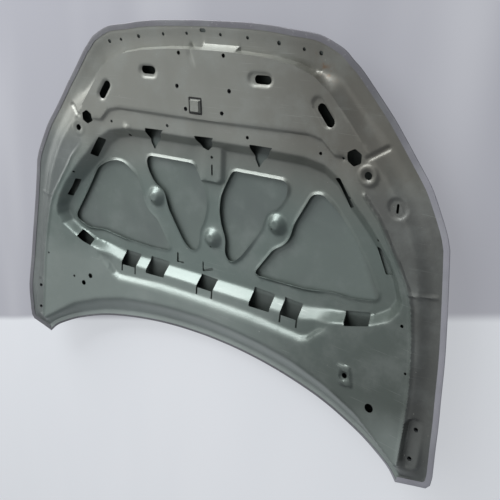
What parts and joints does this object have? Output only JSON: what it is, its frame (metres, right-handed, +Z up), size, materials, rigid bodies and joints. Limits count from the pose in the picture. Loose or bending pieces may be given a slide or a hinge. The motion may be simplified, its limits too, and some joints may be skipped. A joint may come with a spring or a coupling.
{
  "type": "car bonnet",
  "caption": "Pressed steel car bonnet: crowned outer skin hemmed over a pocketed inner frame, with hinge pads at the rear corners and a striker pad at the nose",
  "frame": {"origin": "middle of the bounding box in plan, at the lowest point of the outer skin, which the bonnet rests on", "axes": "+X to the right of the underside as pictured, +Y towards the nose, +Z up out of the underside of the bonnet, away from the skin"},
  "size_m": [1.408, 1.016, 0.115],
  "materials": {
    "skin_primer": "satin primer",
    "frame_primer": "satin primer",
    "plate_primer": "satin primer",
    "nut_steel": "dull plated",
    "mastic": "matt"
  },
  "bodies": {
    "root": {"outer_panel": "skin_primer", "inner_panel": "frame_primer", "striker_reinforcement": "plate_primer", "hinge_reinforcement_right": "plate_primer", "hinge_reinforcement_left": "plate_primer", "striker_nut_1": "nut_steel", "striker_nut_2": "nut_steel", "striker_nut_3": "nut_steel", "striker_nut_4": "nut_steel", "hinge_nut_right_1": "nut_steel", "hinge_nut_left_1": "nut_steel", "hinge_nut_right_2": "nut_steel", "hinge_nut_left_2": "nut_steel", "mastic_dab_1": "mastic", "mastic_dab_2": "mastic", "mastic_dab_3": "mastic", "mastic_dab_4": "mastic", "mastic_dab_5": "mastic", "mastic_dab_6": "mastic", "mastic_dab_7": "mastic", "mastic_dab_8": "mastic"}
  },
  "joints": []
}
